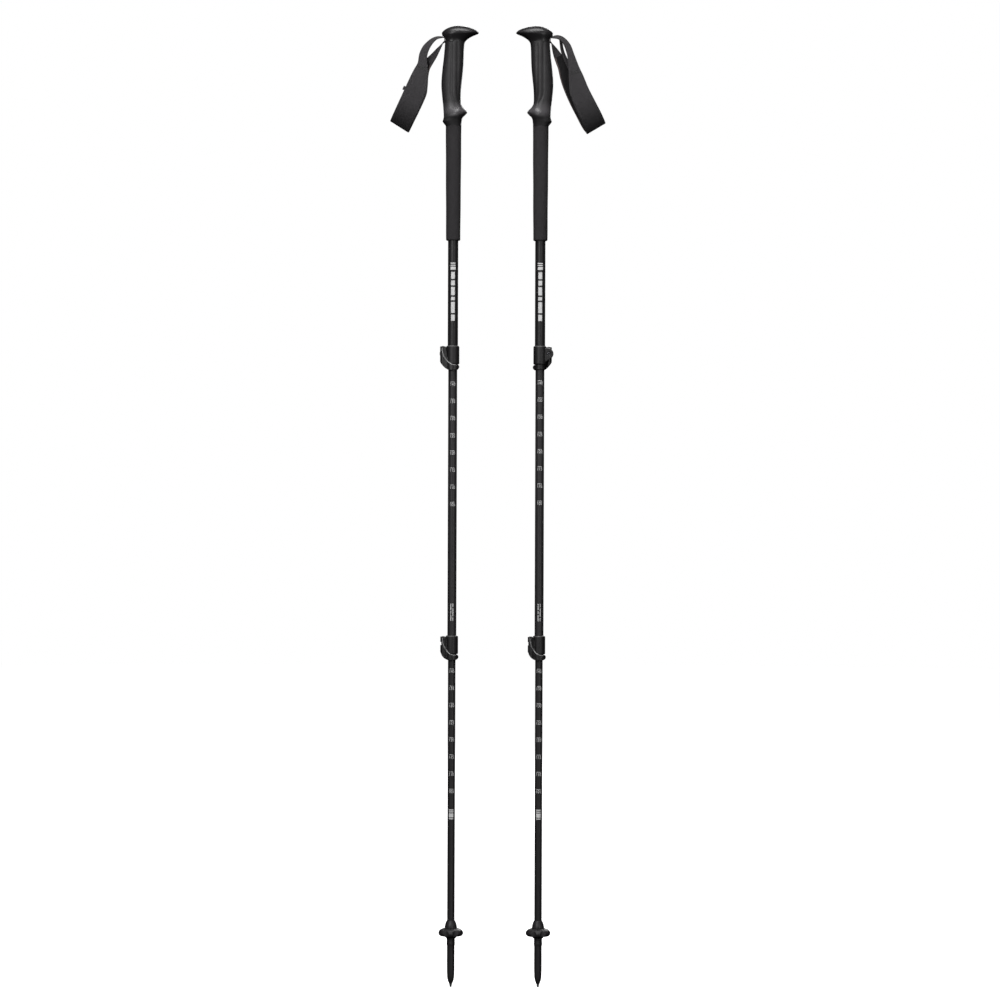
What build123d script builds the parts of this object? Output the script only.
"""A pair of three-section telescopic trekking poles with lever clamps, wrist straps and flexible tips.

Millimetres. +Z is up along both poles, and the tips stand on Z = 0. The left pole's axis is at
X = -pole_spacing / 2 and the right pole's at X = +pole_spacing / 2, both in the plane Y = 0.
Each pole is modelled about its own axis with its thumb beak towards +X, and the right pole is
then turned half a turn about Z, so that the two beaks face each other and the straps hang outside.
"""

import math
import os

from build123d import *

os.makedirs("parts", exist_ok=True)

# ---------------------------------------------------------------- driving dimensions
pole_length = 1400.0  # top of the head to the point, fully extended
pole_spacing = 127.0  # between the two axes

upper_tube_r = 7.5
tube_wall = 0.75
tube_gap = 0.25  # radial, between a tube and the one that slides in it
slide_clearance = 0.05  # radial, a guide in its tube and a clamp's throat on its tube
mating_gap = 0.3  # between pieces of different bodies that pass close by each other
seat_gap = 0.1  # between a guide's collar and the end of the tube that it is pushed into
screw_gap = 0.1  # radial, the tension screw in its holes

clamp_height = 36.0
upper_clamp_z = 898.0  # underside of the upper clamp
lower_clamp_z = 476.0  # underside of the lower clamp
tube_seat = 12.0  # how far above a clamp's underside the tube that it is pressed on ends
tube_overlap = 65.0  # how far each inner tube reaches up past the end of its outer tube
slit_width = 1.2

head_height = 26.0
handle_height = 120.0
foam_height = 167.0
foam_top_wall = 3.9
foam_bottom_wall = 2.9
core_wall = 1.4

webbing_thickness = 1.6
webbing_width = 13.0
strap_thickness = 2.4
strap_pin_r = 2.4
strap_pin_x = -1.0
strap_pin_depth = 20.5  # from the top of the head down to the pin

tip_shank_bottom_z = 24.0
tip_shank_top_z = 60.0
tip_socket_z = 66.0
tip_dome_bottom_z = 86.0
tip_dome_top_z = 97.0
carbide_r = 1.9
carbide_foot_r = 1.3
carbide_length = 14.0

basket_r = 18.0
basket_bottom_z = 71.5

# ---------------------------------------------------------------- sizes that follow from them
upper_bore_r = upper_tube_r - tube_wall
middle_tube_r = upper_bore_r - tube_gap
middle_bore_r = middle_tube_r - tube_wall
lower_tube_r = middle_bore_r - tube_gap
lower_bore_r = lower_tube_r - tube_wall
core_r = upper_tube_r + core_wall
foam_top_r = upper_tube_r + foam_top_wall
foam_bottom_r = upper_tube_r + foam_bottom_wall
tip_shank_r = lower_tube_r + 0.05
tip_thread_r = lower_tube_r + 0.6

grip_split_z = pole_length - head_height  # where the head's moulding meets the handle's
grip_bottom_z = grip_split_z - handle_height
foam_bottom_z = grip_bottom_z - foam_height
core_bottom_z = grip_bottom_z + 8.0
core_top_z = pole_length - 10.0
tube_top_z = grip_split_z - 3.0
strap_pin_z = pole_length - strap_pin_depth


# ---------------------------------------------------------------- grip
# Rubber over the core, from the bottom up: (height, wall at the back, wall at the thumb, wall at the side)
handle_walls = [
    (0.0, 2.5, 2.5, 2.5),
    (4.0, 6.1, 2.8, 4.0),
    (6.5, 7.0, 3.0, 4.5),
    (12.0, 5.7, 4.5, 4.7),
    (16.0, 5.4, 8.5, 4.9),
    (19.5, 5.6, 10.7, 4.9),
    (23.5, 5.7, 8.0, 4.6),
    (28.0, 6.0, 4.3, 4.1),
    (34.0, 6.6, 2.0, 3.7),
    (49.0, 8.4, 1.8, 3.7),
    (61.0, 9.2, 2.5, 3.9),
    (76.0, 8.3, 4.0, 4.1),
    (91.0, 6.7, 5.1, 4.1),
    (106.0, 5.1, 5.7, 3.9),
    (120.0, 4.2, 6.9, 4.1),
]
head_walls = [
    (0.0, 4.2, 6.9, 4.1),
    (3.5, 4.2, 8.3, 4.3),
    (6.5, 5.5, 11.5, 5.1),
    (10.0, 7.8, 16.7, 6.5),
    (13.0, 8.6, 24.1, 7.7),
    (15.3, 8.4, 27.5, 8.1),
    (18.0, 5.9, 25.9, 7.1),
    (21.0, 2.3, 20.7, 4.7),
    (24.0, -3.1, 12.5, 0.5),
    (26.0, -9.9, 3.1, -5.1),
]


def lofted(walls, bottom, ruled):
    """A body through level ellipses round the core, smooth or with a cone between each two."""
    with BuildPart() as body:
        for height, back, thumb, side in walls:
            with BuildSketch(Plane.XY.offset(bottom + height)):
                with Locations(((thumb - back) / 2, 0)):
                    Ellipse(core_r + (back + thumb) / 2, core_r + side)
        loft(ruled=ruled)
    return body.part


pocket_half_width = webbing_width / 2 + mating_gap
pocket_r = strap_pin_r + webbing_thickness + mating_gap
pocket_mouth_x = -30.0
strap_pin_length = 2 * (pocket_half_width + 1.0)


def strap_pocket():
    """The space that runs in level from the back of the head and round the strap pin."""
    with BuildPart() as pocket:
        with BuildSketch(Plane.XZ):
            with Locations((strap_pin_x, strap_pin_z)):
                Circle(pocket_r)
            with Locations(((strap_pin_x + pocket_mouth_x) / 2, strap_pin_z)):
                Rectangle(strap_pin_x - pocket_mouth_x, 2 * pocket_r)
        extrude(amount=pocket_half_width, both=True)
    return pocket.part


def grip_handle():
    """Rubber handle, moulded round the core, with a lip that closes under it."""
    shape = lofted(handle_walls, grip_bottom_z, ruled=False)
    with BuildPart() as handle:
        add(shape)
        with BuildSketch(Plane.XY.offset(core_bottom_z)):
            Circle(core_r)
        extrude(until=Until.LAST, mode=Mode.SUBTRACT)
        with BuildSketch(Plane.XY.offset(grip_bottom_z)):
            Circle(upper_tube_r)
        extrude(amount=core_bottom_z - grip_bottom_z, mode=Mode.SUBTRACT)
    return handle.part


def grip_head():
    """Mushroom head with its beak, hollow for the core and open at the back for the strap."""
    shape = lofted(head_walls, grip_split_z, ruled=True)
    pocket = strap_pocket()
    with BuildPart() as head:
        add(shape)
        with BuildSketch(Plane.XY.offset(grip_split_z)):
            Circle(core_r)
        extrude(amount=core_top_z - grip_split_z, mode=Mode.SUBTRACT)
        add(pocket, mode=Mode.SUBTRACT)
    return head.part


def grip_core():
    """Hard plastic sleeve on the top of the upper tube, closed above it and pierced for the strap."""
    pocket = strap_pocket()
    with BuildPart() as core:
        with BuildSketch(Plane.XY.offset(core_bottom_z)):
            Circle(core_r)
        extrude(amount=core_top_z - core_bottom_z)
        with BuildSketch(Plane.XY.offset(core_bottom_z)):
            Circle(upper_tube_r)
        extrude(amount=tube_top_z - core_bottom_z, mode=Mode.SUBTRACT)
        add(pocket, mode=Mode.SUBTRACT)
        with BuildSketch(Plane.XZ):
            with Locations((strap_pin_x, strap_pin_z)):
                Circle(strap_pin_r)
        extrude(amount=core_r, both=True, mode=Mode.SUBTRACT)
    return core.part


def strap_pin():
    """Steel cross pin that the webbing goes round, held in the core's two side walls."""
    with BuildPart() as pin:
        with BuildSketch(Plane.XZ.offset(-strap_pin_length / 2)):
            with Locations((strap_pin_x, strap_pin_z)):
                Circle(strap_pin_r)
        extrude(amount=strap_pin_length)
        chamfer(pin.edges().filter_by(GeomType.CIRCLE), 0.3)
    return pin.part


wedge_inner_x = strap_pin_x - strap_pin_r - 1.0
wedge_outer_x = -14.0


def strap_wedge():
    """Tapered plastic wedge that is pushed in between the two runs of webbing and jams them."""
    thick, thin = strap_pin_r - seat_gap, strap_pin_r - 0.7
    with BuildPart() as wedge:
        with BuildSketch(Plane.XZ):
            with BuildLine():
                Polyline(
                    (wedge_outer_x, strap_pin_z - thick),
                    (wedge_outer_x, strap_pin_z + thick),
                    (wedge_inner_x, strap_pin_z + thin),
                    (wedge_inner_x, strap_pin_z - thin),
                    close=True,
                )
            make_face()
        extrude(amount=pocket_half_width - 0.5, both=True)
        fillet(wedge.edges().filter_by(Axis.Z), 0.6)
    return wedge.part


def foam_sleeve():
    """Foam grip extension: a tapered tube with a rounded lower edge."""
    with BuildPart() as foam:
        with BuildSketch(Plane.XZ):
            with BuildLine():
                Polyline(
                    (upper_tube_r, foam_bottom_z),
                    (foam_bottom_r, foam_bottom_z),
                    (foam_top_r, grip_bottom_z),
                    (upper_tube_r, grip_bottom_z),
                    close=True,
                )
            make_face()
        revolve(axis=Axis.Z)
        outer_edge = foam.edges().filter_by(GeomType.CIRCLE).sort_by(SortBy.RADIUS)
        fillet(outer_edge.filter_by_position(Axis.Z, foam_bottom_z, foam_bottom_z + 0.1)[-1], 1.6)
    return foam.part


# ---------------------------------------------------------------- wrist strap
# The moving loop hangs from a root just outside the head. Its outline is seen square on to the
# plane Y = 0, and its side profile is a drop whose two layers meet in a fold at the bottom.
strap_root_x = -23.0
strap_root_z = strap_pin_z + strap_pin_r + webbing_thickness / 2
strap_root_r = 2.6
fold_out, fold_drop = 54.8, 129.3  # from the root to the middle of the fold
hang_length = math.hypot(fold_out, fold_drop)
root_plane = Plane((strap_root_x, 0, strap_root_z), x_dir=(1, 0, 0), z_dir=(0, -1, 0))
hang_plane = Plane(root_plane.origin, x_dir=(-fold_out, 0, -fold_drop), z_dir=(fold_drop, 0, -fold_out))
hang_start = -6.0
hang_cuts = [(45.0, 6.8), (0.66 * hang_length, 10.5), (0.9 * hang_length, 8.2)]
hang_root_half = 3.4
strap_reach = 25.0

# Outlines as (x, z) points from the root: a strand down to the shoulder, then the padded band.
strap_outlines = {
    "left": {
        "near_top": [(-9.1, 0.5), (-18.0, -6.5), (-25.9, -18.8), (-28.8, -35.7)],
        "near_band": [(-37.6, -52.6), (-68.4, -120.9), (-41.2, -137.8), (-22.7, -97.3)],
        "near_return": [(-15.9, -80.7), (-14.2, -63.7), (-13.6, -45.7), (-15.8, -28.7)],
        "near_under": [(-12.4, -17.2), (-7.6, -9.3)],
        "far_root": [(2.8, -8.7), (4.8, -12.3)],
        "far_under": [(0.6, -22.4), (-4.6, -33.7), (-13.6, -49.0)],
        "far_band": [(-14.2, -63.7), (-15.9, -80.7), (-22.7, -97.3), (-41.2, -137.8)],
        "far_return": [(-68.4, -120.9), (-37.6, -52.6), (-23.0, -35.7)],
        "far_top": [(-15.0, -29.1), (-5.5, -18.3)],
        "near_side": -1,
    },
    "right": {
        "near_top": [(-8.0, 2.2), (-17.5, -6.4), (-25.5, -23.1), (-31.8, -40.7)],
        "near_band": [(-38.5, -54.3), (-70.4, -123.8), (-43.8, -140.4), (-26.9, -104.9)],
        "near_return": [(-21.0, -89.7), (-17.6, -63.9), (-16.4, -37.7), (-14.0, -24.2)],
        "near_under": [(-10.0, -13.2), (-5.8, -5.7)],
        "far_root": [(2.8, -8.7), (5.8, -13.5)],
        "far_under": [(3.3, -32.5), (-2.1, -46.5), (-5.1, -57.8)],
        "far_band": [(-10.0, -72.3), (-19.6, -95.3), (-29.3, -113.4), (-43.8, -140.4)],
        "far_return": [(-70.4, -123.8), (-38.5, -54.3), (-23.0, -37.7)],
        "far_top": [(-15.0, -29.1), (-4.0, -17.7)],
        "near_side": 1,
    },
}


def strap_profile():
    """Side view of the loop, in the hanging plane: a drop, open where the two strands start."""
    with BuildSketch(hang_plane) as profile:
        for inset in (0, strap_thickness):
            near = [(along, half - inset) for along, half in hang_cuts]
            far = [(along, inset - half) for along, half in reversed(hang_cuts)]
            with BuildLine():
                drop = Spline(
                    (hang_start, hang_root_half - inset),
                    *near,
                    (hang_length - inset, 0),
                    *far,
                    (hang_start, inset - hang_root_half),
                )
                Line(drop @ 1, drop @ 0)
            make_face(mode=Mode.SUBTRACT if inset else Mode.ADD)
    return profile.sketch


def near_layer(outline):
    """The layer on the viewer's side, from its round root down to the fold, as a thick slab."""
    with BuildPart() as layer:
        with BuildSketch(root_plane):
            with BuildLine():
                top = Spline((0, strap_root_r), *outline["near_top"])
                band = Polyline(top @ 1, *outline["near_band"])
                back = Spline(band @ 1, *outline["near_return"])
                under = Spline(back @ 1, *outline["near_under"], (0, -strap_root_r))
                Line(under @ 1, top @ 0)
            make_face()
            Circle(strap_root_r)
        extrude(amount=-outline["near_side"] * strap_reach)
    return layer.part


def far_layer(outline):
    """The layer on the other side, from under the head down to the fold, as a thick slab."""
    start, end = outline["far_root"]
    with BuildPart() as layer:
        with BuildSketch(root_plane):
            with BuildLine():
                under = Spline(end, *outline["far_under"])
                side = Polyline(under @ 1, *outline["far_band"])
                back = Polyline(side @ 1, *outline["far_return"])
                Polyline(back @ 1, *outline["far_top"], start, end)
            make_face()
        extrude(amount=outline["near_side"] * strap_reach)
    return layer.part


def strap(outline):
    """The loop that hangs outside: its side profile, trimmed to what each layer shows from the front."""
    profile = strap_profile()
    layers = near_layer(outline) + far_layer(outline)
    with BuildPart() as loop:
        extrude(profile, amount=strap_reach, both=True)
        add(layers, mode=Mode.INTERSECT)
    return loop.part


strap_exit_x = -19.0


def strap_anchor():
    """The stretch of webbing that is fixed in the head: in over the wedge, round the pin, out below."""
    outer_r = strap_pin_r + webbing_thickness
    with BuildPart() as anchor:
        with BuildSketch(Plane.XZ):
            with Locations((strap_pin_x, strap_pin_z)):
                Circle(outer_r)
                Rectangle(strap_pin_x - strap_root_x, outer_r, align=(Align.MAX, Align.MIN))
                Rectangle(strap_pin_x - strap_exit_x, outer_r, align=(Align.MAX, Align.MAX))
                Circle(strap_pin_r, mode=Mode.SUBTRACT)
                Rectangle(
                    strap_pin_x - pocket_mouth_x,
                    2 * strap_pin_r,
                    align=(Align.MAX, Align.CENTER),
                    mode=Mode.SUBTRACT,
                )
            with Locations((strap_root_x, strap_root_z)):
                Circle(strap_root_r + mating_gap, mode=Mode.SUBTRACT)
        extrude(amount=webbing_width / 2, both=True)
    return anchor.part


# ---------------------------------------------------------------- tubes and their guides
tube_slit_width = 0.8
tube_slit_length = 16.0


def tube(radius, bottom, top, slits):
    """Drawn aluminium tube. A tube that a clamp squeezes has two slits in its lower end."""
    with BuildPart() as body:
        with BuildSketch(Plane.XY.offset(bottom)):
            Circle(radius)
            Circle(radius - tube_wall, mode=Mode.SUBTRACT)
        extrude(amount=top - bottom)
        if slits:
            with BuildSketch(Plane.XY.offset(bottom)):
                Rectangle(tube_slit_width, 2 * radius + tube_wall)
            extrude(amount=tube_slit_length, mode=Mode.SUBTRACT)
    return body.part


guide_collar_height = 6.0
guide_stem_length = 12.0
guide_wall = 1.5


def guide(outer_bore_r, inner_bore_r, tube_end_z):
    """Plastic guide in an inner tube's top end. Its collar runs in the outer tube and keeps it in line."""
    stem_bottom_z = tube_end_z - guide_stem_length
    collar_bottom_z = tube_end_z + seat_gap
    stem_r = inner_bore_r - slide_clearance
    with BuildPart() as body:
        with BuildSketch(Plane.XY.offset(collar_bottom_z)):
            Circle(outer_bore_r - slide_clearance)
        extrude(amount=guide_collar_height)
        with BuildSketch(Plane.XY.offset(stem_bottom_z)):
            Circle(stem_r)
        extrude(amount=collar_bottom_z - stem_bottom_z)
        with BuildSketch(Plane.XY.offset(stem_bottom_z)):
            Circle(stem_r - guide_wall)
        extrude(until=Until.LAST, mode=Mode.SUBTRACT)
        rim = body.edges().filter_by(GeomType.CIRCLE).group_by(Axis.Z)[-1].sort_by(SortBy.RADIUS)[-1]
        chamfer(rim, 0.8)
    return body.part


# ---------------------------------------------------------------- lever clamps
# A clamp is modelled with its axis on Z, its underside at 0 and its ears towards -X. The lever
# turns about an upright pin in front of the ears (-Y), and the tension screw's head is behind (+Y).
screw_r = 1.5
screw_head_r = 2.8
screw_head_height = 2.0
screw_recess = 0.6
washer_thickness = 0.5
cross_length = 3.4
cross_width = 0.8
cross_depth = 1.2
pin_r = 2.0
pin_y = -8.4
pin_half_length = 10.6
pin_blind_wall = 0.4
cam_r = 4.2
cam_offset = 0.5
cam_gap = 0.15
front_ear_y = pin_y + cam_offset + cam_r + cam_gap
back_ear_y = 6.2
ear_root_x = -4.0
ear_edge_r = 1.2
ear_r = 8.2
ear_centre_z = clamp_height - 11.4
throat_bottom_z = 0.8
neck_wall = 1.15
neck_height = 9.0
shoulder_height = 2.6
lever_thickness = 1.9
lever_open_deg = 110.0

clamp_kinds = {
    "upper": dict(sleeve_wall=2.1, ear_reach=3.6, ear_rim=3.6, outer_r=upper_tube_r, inner_r=middle_tube_r),
    "lower": dict(sleeve_wall=2.6, ear_reach=2.6, ear_rim=1.2, outer_r=middle_tube_r, inner_r=lower_tube_r),
}
for kind in clamp_kinds.values():
    kind["body_r"] = kind["outer_r"] + kind.pop("sleeve_wall")
    kind["screw_x"] = -kind["body_r"] - kind.pop("ear_reach")


def clamp_neck_r(inner_r):
    """Outside of the neck that closes on the inner tube."""
    return inner_r + slide_clearance + neck_wall


def ear_outline(end_x, radius, low_z, high_z):
    """An ear seen from the front: a round end, and tangents from it that widen to the sleeve."""
    centre = Vector(end_x + radius, ear_centre_z)
    touches = []
    for root_z, side in ((low_z, -1), (high_z, 1)):
        away = Vector(ear_root_x, root_z) - centre
        spread = math.degrees(math.acos(radius / away.length))
        touches.append(centre + radius * away.normalized().rotate(Axis.Z, side * spread))
    with BuildSketch(Plane.XZ) as outline:
        with BuildLine():
            ThreePointArc(touches[0], (end_x, ear_centre_z), touches[1])
            Polyline(touches[1], (ear_root_x, high_z), (ear_root_x, low_z), touches[0])
        make_face()
    return outline.sketch


def rear_ear(end_x):
    """The ear that the screw's head sits in, with its rim rounded."""
    outline = ear_outline(end_x, ear_r, neck_height + 0.6, clamp_height - shoulder_height - 0.4)
    with BuildPart() as ear:
        extrude(outline, amount=-back_ear_y)
        fillet(ear.faces().sort_by(Axis.Y)[-1].edges().sort_by(Axis.X)[:-1], ear_edge_r)
    return ear.part


def clamp_housing(body_r, screw_x, ear_rim, outer_r, inner_r):
    """Split nylon sleeve with two ears. The screw pulls the ears together when the lever's cam lifts."""
    neck_r = clamp_neck_r(inner_r)
    rim_r = outer_r + 0.4
    bevel = throat_bottom_z
    ear_end_x = screw_x - screw_head_r - ear_rim
    front_ear = ear_outline(ear_end_x + 1.4, ear_r / 2, neck_height + 2.4, clamp_height - 3.4)
    back_ear = rear_ear(ear_end_x)
    with BuildPart() as housing:
        with BuildSketch(Plane.XZ):
            with BuildLine():
                side = Polyline(
                    (0, throat_bottom_z),
                    (neck_r - bevel, throat_bottom_z),
                    (neck_r, throat_bottom_z + bevel),
                    (neck_r, neck_height),
                    (body_r - bevel, neck_height),
                    (body_r, neck_height + bevel),
                    (body_r, clamp_height - shoulder_height),
                )
                shoulder = Spline(
                    side @ 1,
                    (body_r - 0.5, clamp_height - 0.7),
                    (rim_r, clamp_height),
                    tangents=[(0, 1), (-1, 0)],
                )
                Polyline(shoulder @ 1, (0, clamp_height), side @ 0)
            make_face()
        revolve(axis=Axis.Z)
        add(back_ear)
        extrude(front_ear, amount=-front_ear_y)
        with BuildSketch(Plane.XY.offset(tube_seat)):
            Circle(outer_r)
        extrude(amount=clamp_height, mode=Mode.SUBTRACT)
        with BuildSketch():
            Circle(inner_r + slide_clearance)
        extrude(amount=tube_seat, mode=Mode.SUBTRACT)
        with BuildSketch():
            Rectangle(2 * body_r - 2 * screw_x, slit_width, align=(Align.MAX, Align.CENTER))
        extrude(amount=clamp_height, mode=Mode.SUBTRACT)
        with BuildSketch(Plane.XZ.offset(-back_ear_y)):
            with Locations((screw_x, ear_centre_z)):
                Circle(screw_head_r + 0.4)
        extrude(amount=screw_head_height + screw_recess, mode=Mode.SUBTRACT)
        with BuildSketch(Plane.XZ.offset(-back_ear_y)):
            with Locations((screw_x, ear_centre_z)):
                Circle(screw_r + screw_gap)
        extrude(amount=back_ear_y - front_ear_y, mode=Mode.SUBTRACT)
    return housing.part


screw_head_y = back_ear_y - screw_head_height - screw_recess + washer_thickness


def clamp_washer(screw_x):
    """Steel washer under the screw's head, so that the head doesn't bite into the nylon."""
    with BuildPart() as washer:
        with BuildSketch(Plane.XZ.offset(-screw_head_y)):
            with Locations((screw_x, ear_centre_z)):
                Circle(screw_head_r + 0.3)
                Circle(screw_r + screw_gap, mode=Mode.SUBTRACT)
        extrude(amount=washer_thickness)
    return washer.part


def clamp_screw(screw_x):
    """Cross-head tension screw, from its recess in the back ear through both ears into the pivot pin."""
    with BuildPart() as screw:
        with BuildSketch(Plane.XZ.offset(-screw_head_y - screw_head_height)):
            with Locations((screw_x, ear_centre_z)):
                Circle(screw_head_r)
        extrude(amount=screw_head_height)
        fillet(screw.edges().sort_by(Axis.Y)[-1], 0.8)
        with BuildSketch(Plane.XZ.offset(-screw_head_y)):
            with Locations((screw_x, ear_centre_z)):
                Circle(screw_r)
        extrude(amount=screw_head_y - pin_y + pin_r - pin_blind_wall)
        with BuildSketch(Plane.XZ.offset(-screw_head_y - screw_head_height)):
            with Locations((screw_x, ear_centre_z)):
                Rectangle(cross_length, cross_width)
                Rectangle(cross_width, cross_length)
        extrude(amount=cross_depth, mode=Mode.SUBTRACT)
    return screw.part


def clamp_pivot(screw_x):
    """Brass barrel nut: the lever's upright hinge pin, cross-drilled and tapped for the screw."""
    with BuildPart() as pivot:
        with BuildSketch(Plane.XY.offset(ear_centre_z - pin_half_length)):
            with Locations((screw_x, pin_y)):
                Circle(pin_r)
        extrude(amount=2 * pin_half_length)
        chamfer(pivot.edges().filter_by(GeomType.CIRCLE), 0.3)
        with BuildSketch(Plane.XZ.offset(-pin_y - pin_r)):
            with Locations((screw_x, ear_centre_z)):
                Circle(screw_r)
        extrude(amount=2 * pin_r - pin_blind_wall, mode=Mode.SUBTRACT)
    return pivot.part


screw_slot_half = 2.2
screw_slot_length = 12.0
blade_corner_r = 1.0
lever_reach = 25.0


def front_ring(outer_r, inner_r):
    """The part of a ring that the lever covers: the front, cut off along a line behind its blade."""
    with BuildSketch() as ring:
        Circle(outer_r)
        Circle(inner_r, mode=Mode.SUBTRACT)
        with BuildLine():
            Polyline((-20, -6.2), (0, -6.2), (20, -3.4), (20, 20), (-20, 20), close=True)
        make_face(mode=Mode.SUBTRACT)
    return ring.sketch


def screw_slot():
    """What the screw needs clear, seen from above, while the lever turns about its pin."""
    far = screw_slot_length * Vector(0, 1).rotate(Axis.Z, lever_open_deg)
    side = screw_slot_half * Vector(-1, 0).rotate(Axis.Z, lever_open_deg)
    with BuildSketch() as slot:
        with BuildLine():
            Polyline(
                (screw_slot_half, 0),
                (screw_slot_half, screw_slot_length),
                (-screw_slot_length, screw_slot_length),
                far + side,
                side,
                close=True,
            )
        make_face()
        Circle(screw_slot_half)
    return slot.sketch


def clamp_lever(body_r, screw_x, inner_r):
    """Nylon lever. Two cams ride the pivot, and the blade wraps the sleeve down to a band at the neck."""
    wrap_r = body_r + mating_gap + 0.1
    outer_r = wrap_r + lever_thickness
    neck_r = clamp_neck_r(inner_r) + mating_gap
    left = screw_x - cam_r - 1.0
    hinge_right = screw_x + 4.0
    hinge_left = screw_x - 3.0
    hinge_top_z = clamp_height - 1.4
    blade = front_ring(outer_r, wrap_r)
    band = front_ring(wrap_r + 0.2, neck_r)
    slot = screw_slot()
    with BuildPart() as lever:
        with BuildSketch():
            with Locations((screw_x, pin_y + cam_offset)):
                Circle(cam_r)
            with Locations((-0.56 * outer_r, -0.73 * outer_r), (-0.72 * wrap_r, -0.78 * wrap_r)):
                Circle(blade_corner_r)
            make_hull()
            add(blade)
            Circle(wrap_r, mode=Mode.SUBTRACT)
        extrude(amount=clamp_height)
        extrude(band, amount=neck_height - mating_gap)
        # trimmed to its outline from the front: tall at the hinge, a low band with a round end
        with BuildSketch(Plane.XZ):
            with BuildLine():
                sweep = Spline(
                    (hinge_right, hinge_top_z),
                    (screw_x + 6.0, ear_centre_z + 0.4),
                    (-3.6, neck_height + 3.4),
                    (1.0, neck_height),
                    (6.5, neck_height - 0.4),
                )
                end = Spline(sweep @ 1, (9.6, 7.4), (10.4, 4.6), (9.0, 2.0), (5.0, 0.7))
                heel = Spline(end @ 1, (0.0, 0.2), (-5.5, 0.8), (-11.0, 4.4), (hinge_left, 10.6))
                Polyline(heel @ 1, (left, 14.6), (left, hinge_top_z), sweep @ 0)
            make_face()
        extrude(amount=lever_reach, both=True, mode=Mode.INTERSECT)
        with BuildSketch():
            with Locations((screw_x, pin_y)):
                Circle(pin_r + slide_clearance)
        extrude(amount=clamp_height, mode=Mode.SUBTRACT)
        with Locations((screw_x, pin_y, ear_centre_z - screw_slot_half)):
            add(extrude(slot, amount=2 * screw_slot_half, mode=Mode.PRIVATE), mode=Mode.SUBTRACT)
    return lever.part


# ---------------------------------------------------------------- tip and basket
nose_bottom_z = 5.0
nose_bevel = 0.6
thread_heights = [65.5, 68.5, 74.0, 77.0, 80.0, 83.0]
thread_width = 1.2
thread_depth = 0.4
dome_r = tip_thread_r + 3.0
dome_mouth_r = lower_tube_r + 0.4
flute_count = 12
flute_r = 1.4
flute_depth = 0.5


def flex_tip():
    """Flexible plastic tip: a dome that the basket seats against, a thread, a shank and a round nose."""
    with BuildPart() as tip:
        with BuildSketch(Plane.XZ):
            with BuildLine():
                nose = Polyline(
                    (carbide_r, nose_bottom_z - nose_bevel),
                    (carbide_r + 0.5, nose_bottom_z),
                    (3.9, 8.7),
                )
                cheek = Spline(nose @ 1, (4.9, 13.0), (5.3, 18.0), (tip_shank_r, tip_shank_bottom_z))
                stem = Polyline(
                    cheek @ 1,
                    (tip_shank_r, tip_shank_top_z),
                    (tip_thread_r, tip_shank_top_z + 2.5),
                    (tip_thread_r, tip_dome_bottom_z),
                    (dome_r, tip_dome_bottom_z),
                )
                dome = Spline(
                    stem @ 1,
                    (dome_r - 0.8, tip_dome_bottom_z + 5.0),
                    (dome_r - 1.9, tip_dome_top_z - 2.6),
                    (dome_mouth_r, tip_dome_top_z),
                )
                Polyline(dome @ 1, (0, tip_dome_top_z), (0, nose_bottom_z - nose_bevel), nose @ 0)
            make_face()
        revolve(axis=Axis.Z)
        # grooves that leave a raised thread, as rings
        with BuildSketch(Plane.XZ):
            with Locations(*[(tip_thread_r, z) for z in thread_heights]):
                Rectangle(2 * thread_depth, thread_width)
        revolve(axis=Axis.Z, mode=Mode.SUBTRACT)
        # flutes round the dome for fingers
        with BuildSketch(Plane.XY.offset(tip_dome_bottom_z)):
            with PolarLocations(dome_r + flute_r - flute_depth, flute_count):
                Circle(flute_r)
        extrude(amount=tip_dome_top_z - tip_dome_bottom_z, mode=Mode.SUBTRACT)
        with BuildSketch(Plane.XY.offset(tip_socket_z)):
            Circle(lower_tube_r)
        extrude(amount=tip_dome_top_z - tip_socket_z, mode=Mode.SUBTRACT)
        with BuildSketch():
            Circle(carbide_r)
        extrude(amount=carbide_length, mode=Mode.SUBTRACT)
    return tip.part


def carbide_point():
    """Carbide insert pressed into the nose, with a small dished foot that bites on rock."""
    with BuildPart() as point:
        with BuildSketch(Plane.XZ):
            with BuildLine():
                Polyline(
                    (0, 0),
                    (carbide_foot_r, 0),
                    (carbide_foot_r + 0.1, 1.0),
                    (carbide_r, nose_bottom_z - 1.8),
                    (carbide_r, carbide_length),
                    (0, carbide_length),
                    close=True,
                )
            make_face()
        revolve(axis=Axis.Z)
    return point.part


basket_bore_r = tip_thread_r + 0.1
basket_top_z = tip_dome_bottom_z - mating_gap
lobe_count = 8


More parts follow.
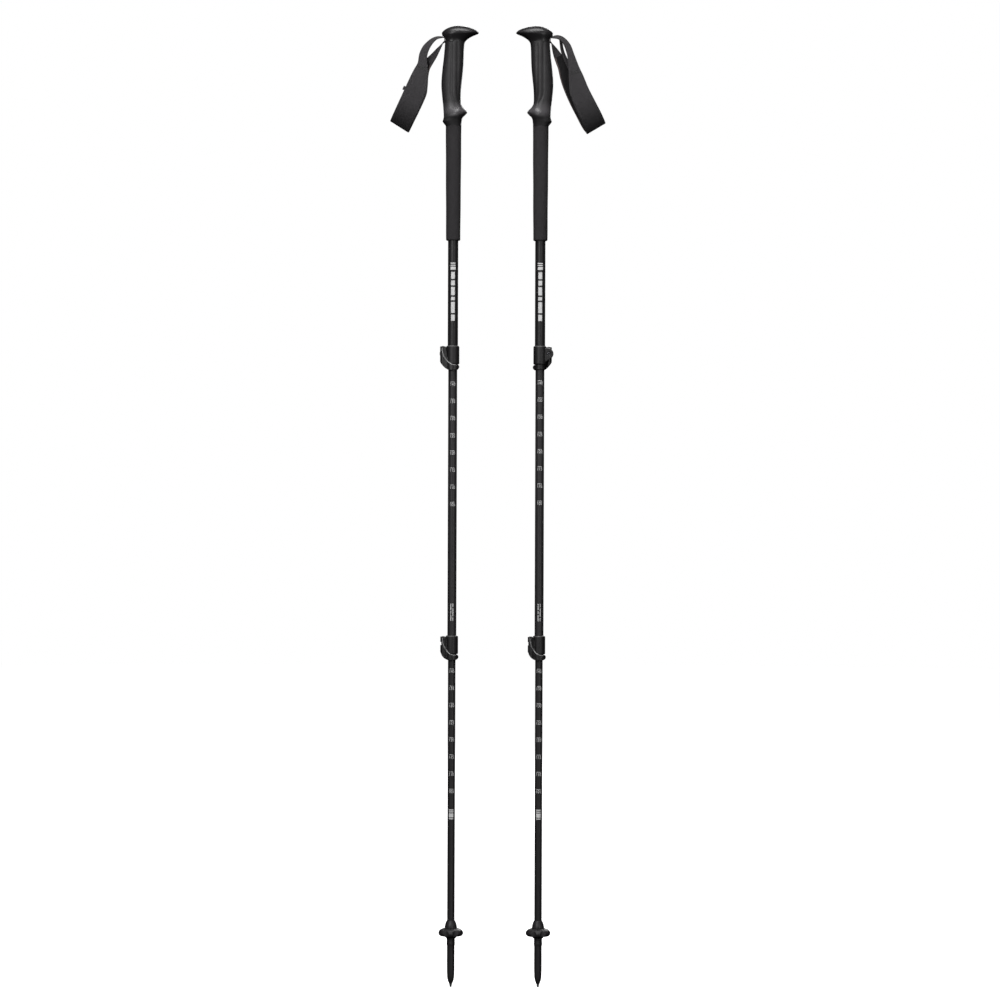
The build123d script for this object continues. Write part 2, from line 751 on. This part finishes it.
def basket():
    """Low trekking basket: a threaded hub, a thin drooping web and a scalloped rim bead."""
    with BuildPart() as body:
        with BuildSketch(Plane.XZ):
            with BuildLine():
                under = Polyline(
                    (basket_bore_r, basket_bottom_z),
                    (basket_bore_r + 1.2, basket_bottom_z),
                    (basket_bore_r + 3.4, basket_bottom_z + 3.6),
                    (basket_bore_r + 6.8, basket_bottom_z + 5.6),
                )
                rim = Spline(
                    under @ 1,
                    (basket_r - 2.6, basket_bottom_z + 3.2),
                    (basket_r, basket_bottom_z + 6.6),
                    (basket_r - 2.2, basket_bottom_z + 11.6),
                    (basket_bore_r + 6.4, basket_top_z - 1.0),
                )
                top = Line(rim @ 1, (basket_bore_r + 4.2, basket_top_z))
                Polyline(top @ 1, (basket_bore_r, basket_top_z), under @ 0)
            make_face()
        revolve(axis=Axis.Z)
        with BuildSketch(Plane.XY.offset(basket_bottom_z)):
            with PolarLocations(basket_r + 3.4, lobe_count, start_angle=180 / lobe_count):
                Circle(5.6)
            with PolarLocations(basket_bore_r + 5.2, lobe_count):
                SlotOverall(4.4, 1.8)
        extrude(until=Until.LAST, mode=Mode.SUBTRACT)
    return body.part


# ---------------------------------------------------------------- one pole, and the pair
upper_tube_end_z = upper_clamp_z + tube_seat
middle_tube_end_z = lower_clamp_z + tube_seat
middle_tube_top_z = upper_tube_end_z + tube_overlap
lower_tube_top_z = middle_tube_end_z + tube_overlap


def clamp_pieces(kind, height, turn_deg):
    """The five pieces of one clamp, lifted to its height and turned about its tube."""
    sizes = clamp_kinds[kind]
    place = Pos(0, 0, height) * Rot(0, 0, turn_deg)
    pieces = {
        "housing": clamp_housing(**sizes),
        "lever": clamp_lever(sizes["body_r"], sizes["screw_x"], sizes["inner_r"]),
        "pivot": clamp_pivot(sizes["screw_x"]),
        "screw": clamp_screw(sizes["screw_x"]),
        "washer": clamp_washer(sizes["screw_x"]),
    }
    return {f"{kind}_clamp_{name}": place * piece for name, piece in pieces.items()}


def pole(side, upper_turn_deg, lower_turn_deg):
    """Every piece of one pole about its own axis, by name."""
    pieces = {
        "grip_handle": grip_handle(),
        "grip_head": grip_head(),
        "grip_core": grip_core(),
        "strap_pin": strap_pin(),
        "strap_wedge": strap_wedge(),
        "strap_anchor": strap_anchor(),
        "strap": strap(strap_outlines[side]),
        "foam_sleeve": foam_sleeve(),
        "upper_tube": tube(upper_tube_r, upper_tube_end_z, tube_top_z, slits=True),
        "middle_tube": tube(middle_tube_r, middle_tube_end_z, middle_tube_top_z, slits=True),
        "lower_tube": tube(lower_tube_r, tip_socket_z, lower_tube_top_z, slits=False),
        "middle_guide": guide(upper_bore_r, middle_bore_r, middle_tube_top_z),
        "lower_guide": guide(middle_bore_r, lower_bore_r, lower_tube_top_z),
        "flex_tip": flex_tip(),
        "carbide_point": carbide_point(),
        "basket": basket(),
    }
    pieces.update(clamp_pieces("upper", upper_clamp_z, upper_turn_deg))
    pieces.update(clamp_pieces("lower", lower_clamp_z, lower_turn_deg))
    return pieces


# side, place of the axis, turn of the whole pole, turn of its upper clamp and of its lower clamp
pair = [
    ("left", -pole_spacing / 2, 0, -8, -6),
    ("right", pole_spacing / 2, 180, 0, -184),
]
for side, axis_x, pole_turn, upper_turn, lower_turn in pair:
    place = Pos(axis_x, 0, 0) * Rot(0, 0, pole_turn)
    for name, piece in pole(side, upper_turn, lower_turn).items():
        placed = place * piece
        placed.label = f"{side}_{name}"
        export_step(placed, f"parts/{placed.label}.step")
